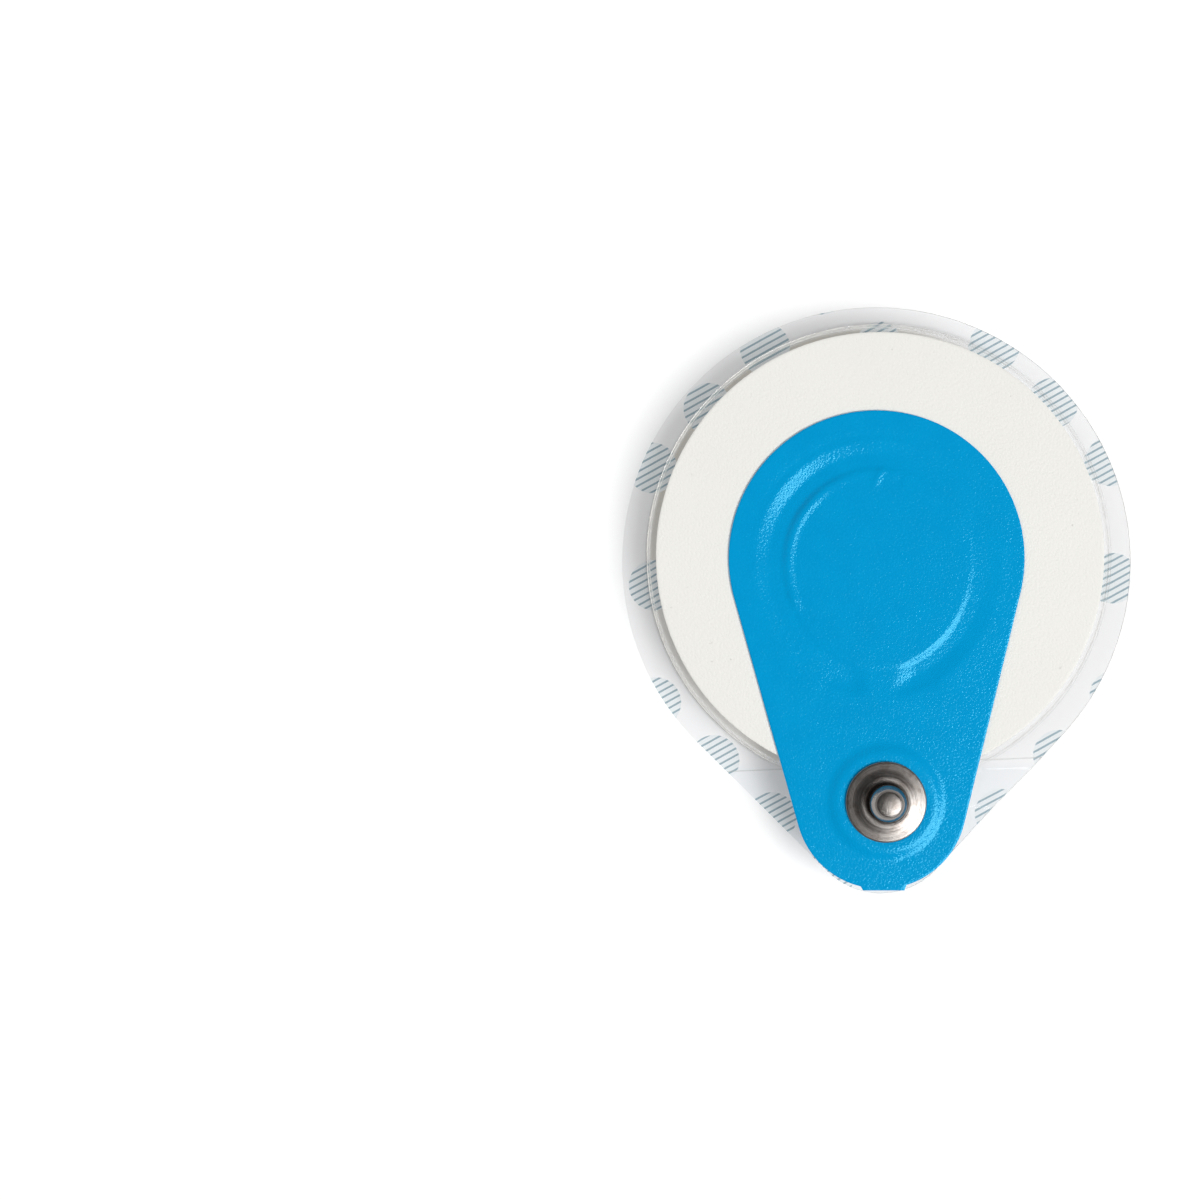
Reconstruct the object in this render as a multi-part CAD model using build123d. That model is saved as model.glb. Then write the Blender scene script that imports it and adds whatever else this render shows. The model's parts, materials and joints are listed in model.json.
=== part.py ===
"""Disposable wet gel ECG electrode, snap side up, lying on its clear release cover.

Millimetres, +Z up. The origin is on the axis of the cover's dome, on the flat outer face of the
cap that the electrode rests on. The tail with the press stud points to -Y.
"""
import os
from math import atan2, degrees, hypot

from build123d import *

# Film cover, thermoformed from one thickness
film = 0.3
cover_radius = 27.25
cover_x, cover_y = -0.2, 0.25
tip_radius = 8.4
tip_reach = 27.3  # from the middle of the round end to the middle of the tip
tip_shift = 0.2
wall_draft = 24  # degrees, on the wall of the recess
rim_height = 0.85  # flat rim above the seat of the pad

# Dome of the cover, each size taken on the gel side of the film
cap_depth = 4.5  # from the seat of the pad down to the cap
cap_radius = 10.0
cap_wall_run = 0.8
shelf_depth = 2.0
shelf_fall = 0.35
shelf_width = 3.1
ring_wall_run = 0.7
brim_depth = 0.6
brim_width = 3.0

# Tail of the cover, bent away from the pad at a crease
crease_back = 5.4  # from the middle of the tip back to the crease
tail_drop = 0.45
floor_run = 2.3
rim_run = 4.2

# Pips that hold the tongue of the pad off the tail
pip_radius = 1.1
pip_pitch = 4.15
pip_row_pitch = 5.3
pip_pair_pitch = 3.4

# Foam pad, die-cut
pad_thickness = 1.0
pad_radius = 24.0
well_radius = 7.1
tongue_radius = 6.85
tongue_back = 1.5  # how far the tongue's middle stays behind the tip's
tongue_corner = 1.2
recess_gap = 0.4  # between the pad and the wall of the recess
recess_x, recess_y = 0.1, 0.8
pad_shift_x, pad_shift_y = 0.1, 0.05  # how far off centre the pad lies in its recess

# Embossed label
label_thickness = 0.25
label_radius = 15.83
label_x, label_y = -0.2, 0.6
tab_radius = 9.17
tab_x = 0.27
tab_back = 1.45  # how far the tab's middle stays behind the tip's
nib_width = 4.7
nib_shift = 0.2
nib_stand = 0.17  # how far the flat cut stands past the round of the tab
trough_radius = 10.1
trough_width = 2.5
trough_depth = 0.3
trough_outer_slope = 0.8
trough_inner_slope = 0.4
trough_gap = 4.9  # left flat where the strip crosses
boss_radius = 5.4  # raised round under the stud
boss_slope = 0.8
boss_height = 0.3

# Sensor strip, between the pad and the label
strip_thickness = 0.12
strip_width = 2.6
strip_reach = 1.9  # past the dome's axis
strip_corner = 0.3
strip_eye_radius = 3.2
strip_fit = 0.05

# Press stud, a hollow drawing from one sheet, on the boss of the label
stud_shift_x, stud_shift_y = 0.48, 0.15  # from the middle of the tab
stud_sheet = 0.28
stud_height = 3.4
flange_radius = 4.33
flange_edge = 0.32
crest_radius = 2.55
crest_height = 0.7
moat_width = 0.4
moat_depth = 0.25
neck_radius = 1.7
neck_height = 1.3
head_radius = 2.0
head_flare = 0.45  # height over which the neck opens out to the head
head_band = 0.62
crown_radius = 1.3

# Eyelet that rivets the stud to the label and the strip
eyelet_sheet = 0.3
eyelet_radius = 4.9
post_wall = 0.25
post_fit = 0.04
post_flare = 0.2
flare_height = 0.35

# Gel, in the well of the pad and the cap of the cover
gel_waist_radius = 8.0
gel_waist_height = 1.5
gel_line = 0.15  # how far the gel stands under the foot of the cap's wall

overrun = 1.0  # cuts go this far past what they cut

# Heights, from the rest face up
seat_z = cap_depth + film
rim_z = seat_z + rim_height
tail_z = seat_z - tail_drop
pad_top = seat_z + pad_thickness
label_top = pad_top + label_thickness
boss_top = label_top + boss_height
sky = label_top + cap_depth
span = cover_radius + tip_reach + tip_radius

tip_y = cover_y - tip_reach
crease_reach = tip_reach - crease_back
tongue_reach = tip_reach - tongue_back
tab_y = tip_y + tab_back
stud_x = tab_x + stud_shift_x
stud_y = tab_y + stud_shift_y
pad_x = recess_x + pad_shift_x
pad_y = recess_y + pad_shift_y
stud_turn = degrees(atan2(stud_x, -stud_y))
post_radius = neck_radius - stud_sheet - post_fit


def prism(outline, low, high, taper=0):
    """A flat outline made solid between two heights."""
    return extrude(Pos(0, 0, low) * outline, high - low, taper=taper)


def turned(points):
    """A solid turned about Z from the (radius, height) points of its section."""
    return revolve(Plane.XZ * make_face(Polyline(*points, close=True)), Axis.Z)


def rolled(profile):
    """Everything above a line of (y, height) points, for the whole width of the part."""
    (near, near_z), (far, far_z) = profile[0], profile[-1]
    outline = make_face(Polyline(*profile, (far, sky), (near, sky), close=True))
    return extrude(Plane.YZ * outline, span, both=True)


def round_ended(radius, place, end_radius, end_place):
    """The outline drawn tight around two circles."""
    circles = [Pos(*place) * Circle(radius), Pos(*end_place) * Circle(end_radius)]
    return make_hull([edge for circle in circles for edge in circle.edges()])


def pad_outline(extra):
    """The pad's disc with its tongue, grown by a gap all round, about the disc's own middle.

    Grown and shrunk back once more, it keeps its edge and gets round inner corners.
    """
    disc = Circle(pad_radius + extra)
    neck = Pos(0, -tongue_reach / 2) * Rectangle(2 * (tongue_radius + extra), tongue_reach)
    tongue = Pos(0, -tongue_reach) * Circle(tongue_radius + extra)
    grown = offset(disc + neck + tongue, tongue_corner)
    return offset(grown, -tongue_corner)


def at_stud(height=0):
    """The place of the stud, turned so that its own +Y looks at the dome's axis."""
    return Location((stud_x, stud_y, height), (0, 0, stud_turn))


def pip_places():
    """Three pips across the stud and two beyond it, on the tail's floor."""
    row = [(step * pip_pitch, 0) for step in (-1, 0, 1)]
    pair = [(side * pip_pair_pitch / 2, -pip_row_pitch) for side in (-1, 1)]
    return [(stud_x + x, stud_y + y) for x, y in row + pair]


def dome_void(grow):
    """The room under the pad inside the dome, or with grow the dome's outside."""
    ring_radius = cap_radius + cap_wall_run + shelf_width
    brim_radius = ring_radius + ring_wall_run
    edge_radius = brim_radius + brim_width
    return turned([
        (0, seat_z - cap_depth - grow),
        (cap_radius + grow, seat_z - cap_depth - grow),
        (cap_radius + cap_wall_run + grow, seat_z - shelf_depth - shelf_fall - grow),
        (ring_radius + grow, seat_z - shelf_depth - grow),
        (brim_radius + grow, seat_z - brim_depth - grow),
        (edge_radius + grow, seat_z - grow),
        (edge_radius + grow, pad_top),
        (0, pad_top),
    ])


def above_film(grow):
    """Everything on the pad's side of the film's upper face, or with grow of its lower face."""
    rim = rolled([
        (span, rim_z - grow),
        (-crease_reach, rim_z - grow),
        (-crease_reach - rim_run, tail_z - grow),
        (-span, tail_z - grow),
    ])
    floor = rolled([
        (span, seat_z - grow),
        (-crease_reach, seat_z - grow),
        (-crease_reach - floor_run, tail_z - grow),
        (-span, tail_z - grow),
    ])
    place = Pos(recess_x, recess_y)
    recess = prism(place * pad_outline(recess_gap + grow), tail_z - grow, sky, -wall_draft)
    return rim + (recess & floor) + dome_void(grow)


def pip_mould(grow):
    """The round that one pip is formed over, or with grow its hollow on the lower face."""
    return prism(Circle(pip_radius - grow), tail_z - grow - overrun, seat_z - grow)


def make_cover():
    tip_place = (cover_x + tip_shift, tip_y)
    outline = round_ended(cover_radius, (cover_x, cover_y), tip_radius, tip_place)
    upper = above_film(0)
    lower = above_film(film)
    for x, y in pip_places():
        upper -= Pos(x, y) * pip_mould(0)
        lower -= Pos(x, y) * pip_mould(film)
    return (prism(outline, 0, sky - overrun) & lower) - upper


def trough_ring(top):
    """The ring that is pressed down into a surface at this height, left out at the strip."""
    outer = trough_radius + trough_width
    ring = turned([
        (trough_radius, top),
        (trough_radius + trough_inner_slope, top - trough_depth),
        (outer - trough_outer_slope, top - trough_depth),
        (outer, top),
        (outer, top + overrun),
        (trough_radius, top + overrun),
    ])
    return ring - strip_bridge(outer)


def strip_bridge(reach):
    """The block over the strip's way, as wide as the gap in the embossed ring."""
    bridge = Pos(0, -reach / 2) * Rectangle(trough_gap, reach)
    return Rot(0, 0, stud_turn) * prism(bridge, 0, sky)


def boss_cone(base):
    """The raised round of the label under the stud, on a surface at this height."""
    cone = turned([
        (0, base - overrun),
        (boss_radius + boss_slope, base - overrun),
        (boss_radius + boss_slope, base),
        (boss_radius, base + boss_height),
        (0, base + boss_height),
    ])
    return at_stud() * cone


def above_label(top):
    """Everything above the label's upper face, or above its lower face, at this height."""
    return rolled([(-span, top), (span, top)]) + trough_ring(top) - boss_cone(top)


def make_label():
    outline = round_ended(label_radius, (label_x, label_y), tab_radius, (tab_x, tab_y))
    nib_depth = tab_radius + nib_stand
    nib = Pos(tab_x + nib_shift, tab_y - nib_depth / 2) * Rectangle(nib_width, nib_depth)
    blank = prism(outline + nib, seat_z, sky - overrun)
    label = (blank & above_label(pad_top)) - above_label(label_top)
    return label - post_room()


def post_room():
    """The room that the eyelet's post takes up on its way through the strip and the label."""
    return at_stud() * prism(Circle(post_radius), seat_z, sky)


def make_foam_pad():
    pad = prism(Pos(pad_x, pad_y) * pad_outline(0), seat_z, pad_top)
    pad -= prism(Circle(well_radius), seat_z, pad_top)
    pad -= trough_ring(pad_top)
    pad -= prism(strip_outline(strip_fit), seat_z, sky) & above_label(strip_low())
    eyelet_bed = prism(Circle(eyelet_radius + strip_fit), eyelet_low(), pad_top + overrun)
    return pad - at_stud() * eyelet_bed


def strip_low():
    """The height of the strip's lower face where it lies pressed into the pad."""
    return pad_top - strip_thickness


def strip_outline(extra):
    """The strip from its eye at the stud to its end over the well, grown by a gap all round."""
    length = hypot(stud_x, stud_y) + strip_reach + extra
    band = Pos(0, length / 2) * Rectangle(strip_width + 2 * extra, length)
    band = fillet(band.vertices().sort_by(Axis.Y)[-2:], strip_corner)
    return at_stud() * (band + Circle(strip_eye_radius + extra))


def make_sensor_strip():
    band = prism(strip_outline(0), seat_z, label_top + boss_height)
    strip = (band & above_label(strip_low())) - above_label(pad_top)
    return strip - post_room()


def make_gel():
    foot_z = seat_z - shelf_depth - shelf_fall
    blank = turned([
        (0, 0),
        (shelf_width + cap_radius, 0),
        (shelf_width + cap_radius, foot_z - gel_line),
        (cap_radius + cap_wall_run - gel_line, foot_z - gel_line),
        (gel_waist_radius, foot_z + gel_waist_height),
        (gel_waist_radius, seat_z),
        (0, seat_z),
    ])
    plug = prism(Circle(well_radius), seat_z, pad_top)
    return (blank & dome_void(0)) + plug - make_sensor_strip()


def make_snap_stud():
    moat_radius = crest_radius - moat_width
    moat_height = crest_height - moat_depth
    head_low = neck_height + head_flare
    head_high = head_low + head_band
    outside = [
        (flange_radius, 0),
        (flange_radius, flange_edge),
        (crest_radius, crest_height),
        (moat_radius, moat_height),
        (neck_radius, moat_height),
        (neck_radius, neck_height),
        (head_radius, head_low),
        (head_radius, head_high),
        (crown_radius, stud_height),
        (0, stud_height),
    ]
    inside = [
        (0, stud_height - stud_sheet),
        (crown_radius - stud_sheet / 2, stud_height - stud_sheet),
        (head_radius - stud_sheet, head_high),
        (head_radius - stud_sheet, head_low),
        (neck_radius - stud_sheet, neck_height),
        (neck_radius - stud_sheet, moat_height - stud_sheet),
        (crest_radius, crest_height - stud_sheet),
        (flange_radius - stud_sheet, 0),
    ]
    return at_stud(boss_top) * turned(outside + inside)


def eyelet_low():
    """The height of the eyelet's lower face, under the label, the strip and its own sheet."""
    return pad_top + boss_height - strip_thickness - eyelet_sheet


def make_snap_eyelet():
    base_top = eyelet_low() + eyelet_sheet
    flare_low = boss_top + neck_height + head_flare
    return at_stud() * turned([
        (post_radius - post_wall, eyelet_low()),
        (eyelet_radius, eyelet_low()),
        (eyelet_radius, base_top),
        (post_radius, base_top),
        (post_radius, flare_low),
        (post_radius + post_flare, flare_low + flare_height),
        (post_radius + post_flare - post_wall, flare_low + flare_height),
        (post_radius - post_wall, flare_low),
    ])


pieces = {
    "cover": make_cover(),
    "foam_pad": make_foam_pad(),
    "label": make_label(),
    "sensor_strip": make_sensor_strip(),
    "gel": make_gel(),
    "snap_stud": make_snap_stud(),
    "snap_eyelet": make_snap_eyelet(),
}

os.makedirs("parts", exist_ok=True)
for name, piece in pieces.items():
    export_step(piece, f"parts/{name}.step")
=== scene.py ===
# %% [markdown]
# # A wet gel ECG electrode on its clear release cover
# The electrode lies snap side up. A stepped film cover carries a die-cut foam pad, a blue embossed
# label lies on the pad, and a press stud stands on the label's tail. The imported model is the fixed
# frame: each piece made here, apart from the bubbles, takes the place of one of its nodes, in
# metres, where the node is.

# %% Load the frame
import json
import math
import random

import bmesh
import bpy
import numpy as np
from mathutils import Matrix, Vector

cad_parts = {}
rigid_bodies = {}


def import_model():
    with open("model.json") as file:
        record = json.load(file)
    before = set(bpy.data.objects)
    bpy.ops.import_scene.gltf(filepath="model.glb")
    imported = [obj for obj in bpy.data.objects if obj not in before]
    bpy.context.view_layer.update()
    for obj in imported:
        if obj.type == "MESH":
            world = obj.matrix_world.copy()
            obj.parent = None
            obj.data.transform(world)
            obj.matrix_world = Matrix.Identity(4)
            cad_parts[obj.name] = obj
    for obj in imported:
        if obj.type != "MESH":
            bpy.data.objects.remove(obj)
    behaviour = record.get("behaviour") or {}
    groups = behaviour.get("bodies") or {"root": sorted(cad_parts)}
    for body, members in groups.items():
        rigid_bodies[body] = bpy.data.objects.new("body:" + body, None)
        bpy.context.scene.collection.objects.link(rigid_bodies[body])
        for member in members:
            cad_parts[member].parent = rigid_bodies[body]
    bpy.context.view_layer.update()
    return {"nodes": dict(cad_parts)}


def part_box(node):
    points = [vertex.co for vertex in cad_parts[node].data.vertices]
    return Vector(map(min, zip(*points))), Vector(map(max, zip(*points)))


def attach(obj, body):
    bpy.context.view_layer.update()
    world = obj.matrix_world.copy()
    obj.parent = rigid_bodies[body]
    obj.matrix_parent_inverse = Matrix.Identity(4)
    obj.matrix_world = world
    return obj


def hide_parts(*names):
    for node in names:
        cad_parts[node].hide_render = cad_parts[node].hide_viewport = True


for thing in list(bpy.data.objects):
    bpy.data.objects.remove(thing)
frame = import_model()
MM = 0.001
print("nodes", sorted(frame["nodes"]))

# %% [markdown]
# ## Sizes
# The frame gives the heights: the pad lies on the cover's seat and the label on the pad. The
# outlines are those of the cut parts. All are named once, in millimetres, because a film a third
# of a millimetre thick is easier to read that way.

# %% Sizes of the pieces, in millimetres
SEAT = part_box("foam_pad")[0].z / MM
PAD_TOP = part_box("foam_pad")[1].z / MM
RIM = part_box("cover")[1].z / MM
TAIL = SEAT - 0.45
FILM = 0.3
LABEL = 0.25
LABEL_TOP = PAD_TOP + LABEL
BOSS = 0.3
STUD_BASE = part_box("snap_stud")[0].z / MM
COVER_ROUNDS = (27.24, (-0.2, 0.25), 8.19, (0.42, -27.25))
LABEL_ROUNDS = (15.83, (-0.2, 0.6), 9.17, (0.27, -25.6))
RECESS_GAP, RECESS_AT = 0.4, (0.1, 0.8)
PAD_AT = (0.2, 0.85)
PAD_ROUND, TONGUE_ROUND, TONGUE_REACH, TONGUE_CORNER = 24.0, 6.85, 25.8, 1.2
WELL = 7.1
CREASE, FLOOR_RUN, RIM_RUN = -21.9, 2.3, 4.2
STUD_AT = (0.75, -25.45)
STUD_WAY = math.atan2(STUD_AT[0], -STUD_AT[1])
PIPS = [(STUD_AT[0] + x, STUD_AT[1] + y)
        for x, y in ((-4.15, 0), (0, 0), (4.15, 0), (-1.7, -5.3), (1.7, -5.3))]
print("seat", round(SEAT, 3), "pad top", round(PAD_TOP, 3), "stud base", round(STUD_BASE, 3))

# %% [markdown]
# ## Outlines
# The cover and the label are both cut to a line drawn tight round a large and a small circle, and
# the pad is a disc with a tongue. How far a point lies outside such a line is a short sum. The
# reach of a ray from the dome's axis to the line then comes from halving, and any line a little
# further out, such as the lip of the recess, comes from the same sum.

# %% How far a point lies outside an outline
def rounds_gap(x, y, rounds):
    """The gap to the line drawn tight round two circles."""
    radius, (cx, cy), end_radius, (ex, ey) = rounds
    length = math.hypot(ex - cx, ey - cy)
    ux, uy = (ex - cx) / length, (ey - cy) / length
    along = (x - cx) * ux + (y - cy) * uy
    across = np.abs((x - cx) * uy - (y - cy) * ux)
    lean = (radius - end_radius) / length
    upright = math.sqrt(1 - lean * lean)
    place = along * upright - across * lean
    flank = across * upright + along * lean - radius
    near = np.hypot(across, along) - radius
    far = np.hypot(across, along - length) - end_radius
    return np.where(place < 0, near, np.where(place > upright * length, far, flank))


def pad_gap(x, y, place):
    """The gap to the pad's disc and tongue, with the corners between them rounded."""
    x, y = x - place[0], y - place[1]
    disc = np.hypot(x, y) - PAD_ROUND
    tongue = np.where(y > 0, np.hypot(x, y), np.where(
        y < -TONGUE_REACH, np.hypot(x, y + TONGUE_REACH), np.abs(x))) - TONGUE_ROUND
    corner = np.hypot(np.maximum(TONGUE_CORNER - disc, 0), np.maximum(TONGUE_CORNER - tongue, 0))
    return np.maximum(TONGUE_CORNER, np.minimum(disc, tongue)) - corner


def reach_of(gap, offset, ways):
    """How far a ray from the axis goes in each way before the gap is this offset."""
    low, high = np.zeros(len(ways)), np.full(len(ways), FURTHEST)
    for _ in range(HALVINGS):
        middle = (low + high) / 2
        outside = gap(-middle * np.sin(ways), middle * np.cos(ways)) > offset
        low, high = np.where(outside, low, middle), np.where(outside, middle, high)
    return low


FURTHEST, HALVINGS = 60.0, 44
SPOKES, TAIL_CROWDING = 320, 0.6
turns = np.arange(SPOKES) * 2 * math.pi / SPOKES
WAYS = turns + TAIL_CROWDING * np.sin(turns)
cover_reach = reach_of(lambda x, y: rounds_gap(x, y, COVER_ROUNDS), 0, WAYS)
print("cover reaches", round(cover_reach.min(), 2), "to", round(cover_reach.max(), 2), "mm")

# %% [markdown]
# ## Sheets made of rings
# Film, foam and label are all sheets with a drawn relief. A circle is extruded outward ring by
# ring, each ring is moved onto its own line, and a height is then read for every point. Rings lie
# close together only where the sheet bends, so that the bends are crisp and the flats cost little.

# %% Make a sheet ring by ring
def ring_sheet(rings, hole=False):
    """A bmesh of rings round the axis, each given as its reach in every way."""
    bm = bmesh.new()
    spoke = bm.verts.layers.int.new("spoke")
    start = bmesh.ops.create_circle(bm, cap_ends=not hole, cap_tris=True, segments=SPOKES, radius=1)
    first = sorted((v for v in start["verts"] if v.co.length > 0.5),
                   key=lambda v: math.atan2(-v.co.x, v.co.y) % (2 * math.pi))
    for number, vert in enumerate(first):
        vert[spoke] = number
    verts, edges = first, [e for e in bm.edges if all(v.co.length > 0.5 for v in e.verts)]
    for number, ring in enumerate(rings):
        if number:
            made = bmesh.ops.extrude_edge_only(bm, edges=edges)["geom"]
            verts = [v for v in made if isinstance(v, bmesh.types.BMVert)]
            outer = set(verts)
            edges = [e for e in made if isinstance(e, bmesh.types.BMEdge)
                     and outer.issuperset(e.verts)]
        for vert in verts:
            way, reach = WAYS[vert[spoke]], ring[vert[spoke]]
            vert.co = (-reach * math.sin(way), reach * math.cos(way), 0)
    return bm


def even(start, end, steps):
    """Rings spread evenly between two, without the first."""
    return [start + (end - start) * step / steps for step in range(1, steps + 1)]


def circle(radius):
    """A round ring, as its reach in every way."""
    return np.full(SPOKES, float(radius))


def lay(bm, height):
    """Moves each point of a flat sheet to the height read at its place."""
    verts = list(bm.verts)
    x = np.array([v.co.x for v in verts])
    y = np.array([v.co.y for v in verts])
    for vert, z in zip(verts, height(x, y)):
        vert.co.z = z


def eased(value, points, width):
    """A line through points, with its corners rounded over a width."""
    xs, ys = zip(*points)
    shifts = (-0.5, -0.25, 0, 0.25, 0.5)
    return sum(np.interp(value + shift * width, xs, ys) for shift in shifts) / len(shifts)


# %% [markdown]
# ## From a bmesh to a piece
# The bmesh is in millimetres, so its points are scaled to metres as they are written. Every
# piece rides on the one body and says which node it stands for, if any.
# Smooth shading is kept off the cut edges by a sharpness angle.

# %% Turn a bmesh into a piece
def make_piece(name, bm, slot, *nodes, sharp=40):
    bmesh.ops.scale(bm, vec=(MM, MM, MM), verts=bm.verts)
    mesh = bpy.data.meshes.new(name)
    bm.to_mesh(mesh)
    bm.free()
    mesh.shade_smooth()
    mesh.set_sharp_from_angle(angle=math.radians(sharp))
    piece = bpy.data.objects.new(name, mesh)
    bpy.context.scene.collection.objects.link(piece)
    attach(piece, "root")
    if nodes:
        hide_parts(*nodes)
    print(name, len(mesh.vertices), "points", len(mesh.polygons), "faces")
    return piece


def thicken(bm, depth):
    """Gives a sheet its wall, grown down from the face that was drawn."""
    bmesh.ops.recalc_face_normals(bm, faces=bm.faces)
    if sum(face.normal.z for face in bm.faces) < 0:
        bmesh.ops.reverse_faces(bm, faces=bm.faces)
    bmesh.ops.solidify(bm, geom=bm.faces[:], thickness=depth)
    bmesh.ops.recalc_face_normals(bm, faces=bm.faces)


# %% [markdown]
# ## The film cover
# The cover is one sheet of clear film drawn over a mould: a cap that holds the gel, a shelf, a
# sloping brim, a shallow recess that the pad lies in, and a tail bent down at a crease with five
# pips. Growing a wall from one face would fold it inside the tight corners, so each face is its
# own ring sheet, with every wall moved out by the film's thickness, and the two are bridged.

# %% Heights of the film's two faces
DOME = [(0, SEAT - 4.5), (10.0, SEAT - 4.5), (10.8, SEAT - 2.35), (13.9, SEAT - 2.0),
        (14.6, SEAT - 0.6), (17.55, SEAT - 0.2), (17.75, SEAT), (FURTHEST, SEAT)]
DOME_END = 18.5
PIP = [(0, 0.97), (0.55, 0.97), (1.15, 0)]
WALL_RUN, WALL_EASE = math.tan(math.radians(24)), 0.06
DOME_EASE, BEND_EASE, PIP_EASE = 0.45, 0.3, 0.5


def film_pips(x, y):
    """How much of the way up to the seat each place of the tail is pushed."""
    raised = np.zeros_like(x)
    for px, py in PIPS:
        raised = np.maximum(raised, eased(np.hypot(x - px, y - py), PIP, PIP_EASE))
    return raised


def film_height(x, y, grow):
    """The height of the film's upper face, or with grow of its lower face."""
    rim = eased(y, [(CREASE - RIM_RUN, TAIL), (CREASE, RIM)], BEND_EASE)
    floor = eased(y, [(CREASE - FLOOR_RUN, TAIL), (CREASE, SEAT)], BEND_EASE)
    floor = floor + film_pips(x, y) * (SEAT - floor)
    gap = pad_gap(x, y, RECESS_AT) - RECESS_GAP - grow
    shifts = np.array((-2, -1, 0, 1, 2)) * WALL_EASE
    walled = sum(np.minimum(rim, floor + np.maximum(gap + shift, 0) / WALL_RUN)
                 for shift in shifts) / len(shifts)
    dome = eased(np.hypot(x, y) - grow, DOME, DOME_EASE)
    return np.where(np.hypot(x, y) < DOME_END, dome, walled) - grow


print("the cap's flat lies", round(DOME[0][1], 2), "mm up, the seat", round(SEAT, 2))


# %% Draw the cover
CAP, CAP_WALL = (1.5, 4, 6.5, 8.6, 9.4), np.arange(9.55, 11.35, 0.125)
SHELF, SHELF_WALL = (12.0, 12.7, 13.4), np.arange(13.55, 15.0, 0.12)
BRIM = (15.6, 16.3, 16.9, 17.2, 17.4, 17.5, 17.6, 17.7, 17.85)
RECESS_START = -0.2
RECESS_WALL = (-0.15, -0.1, -0.06, -0.02, 0.02, 0.06, 0.1, 0.15, 0.2, 0.25, 0.29, 0.33, 0.37,
               0.41, 0.46, 0.52)
SEAT_RINGS, RIM_RINGS = 54, 7


def cover_face(grow):
    """One face of the film: the upper one, or with grow the lower one."""
    def recess(gap):
        return reach_of(lambda x, y: pad_gap(x, y, RECESS_AT), RECESS_GAP + grow + gap, WAYS)

    rings = [circle(r) for r in CAP]
    rings += [circle(r + grow) for r in CAP_WALL]
    rings += [circle(r) for r in SHELF]
    rings += [circle(r + grow) for r in (*SHELF_WALL, *BRIM)]
    rings += [circle(DOME_END)]
    rings += even(rings[-1], recess(RECESS_START), SEAT_RINGS)
    rings += [recess(gap) for gap in RECESS_WALL]
    rings += even(rings[-1], cover_reach, RIM_RINGS)
    face = ring_sheet(rings)
    lay(face, lambda x, y: film_height(x, y, grow))
    return face


def add_bmesh(bm, other):
    """Joins another bmesh to this one."""
    carried = bpy.data.meshes.new("carried")
    other.to_mesh(carried)
    other.free()
    bm.from_mesh(carried)
    bpy.data.meshes.remove(carried)


cover_bm = cover_face(0)
add_bmesh(cover_bm, cover_face(FILM))
brims = [edge for edge in cover_bm.edges if edge.is_boundary]
bmesh.ops.bridge_loops(cover_bm, edges=brims)
bmesh.ops.recalc_face_normals(cover_bm, faces=cover_bm.faces)
cover = make_piece("cover_film", cover_bm, "clear_film", "cover", sharp=50)

# %% [markdown]
# ## The foam pad
# The pad is a disc with a tongue, die-cut from a millimetre of closed-cell foam, with a round well
# for the gel. A flat plate with a bevel would do for its outline. But the label's embossing, the
# strip and the eyelet are pressed into its top, so its two faces are ring sheets as well, joined
# round the well and round the cut edge.

# %% What the embossing does to a face
# Forms are (distance, height) points, depths are (turn in degrees, share of the form).
RIDGE = [(9.05, 0.0), (9.5, 0.13), (9.8, 0.1), (10.3, 0.0)]
TROUGH = [(10.0, 0.0), (10.4, -0.26), (11.75, -0.33), (13.3, 0.0)]
GROOVE = [(13.2, 0.0), (13.75, -0.05), (14.6, 0.0)]
RIDGE_DEPTH = [(-180, 0.8), (-160, 0.8), (-145, 0.0), (95, 0.0), (120, 0.3), (140, 1.0), (180, 0.8)]
TROUGH_DEPTH = [(-180, 0.4), (-150, 0.25), (-125, 0.3), (-105, 0.65), (-75, 0.8), (-55, 0.75),
                (-38, 0.5), (-15, 0.2), (30, 0.1), (65, 0.2), (95, 0.45), (115, 0.7), (130, 0.95),
                (148, 1.0), (160, 0.65), (180, 0.4)]
GROOVE_DEPTH = [(-180, 0.0), (50, 0.0), (90, 0.8), (140, 1.0), (160, 0.3), (180, 0.0)]
WIDENING = [(-150, 0.0), (-100, 1.1), (-75, 1.0), (-45, 0.25), (-20, -0.2), (20, 0.0)]
CROSSING = [(0, 0.15), (1.6, 0.15), (3.4, 1.0)]
BOSS_FORM = [(0, BOSS), (5.35, BOSS), (6.25, 0)]
FOLDS = [((0.35, 10.0), (-0.3, 8.8), 0.34, 0.09), ((2.4, 9.4), (2.25, 8.9), 0.4, -0.05),
         ((-9.5, -3.5), (-9.0, -3.9), 0.36, 0.07), ((-8.4, -5.2), (-7.4, -5.9), 0.5, -0.05),
         ((-5.0, -12.6), (-2.6, -13.1), 0.8, -0.06), ((2.4, -13.3), (5.6, -12.6), 0.8, -0.07)]
WIDENING_EASE, DEPTH_EASE = 20, 16
CROSSING_EASE, FORM_EASE, BOSS_EASE = 0.8, 0.4, 0.5


def around_stud(x, y):
    """The same place seen from the stud, with its own +Y towards the axis."""
    x, y = x - STUD_AT[0], y - STUD_AT[1]
    cos, sin = math.cos(STUD_WAY), math.sin(STUD_WAY)
    return x * cos + y * sin, y * cos - x * sin


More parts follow.
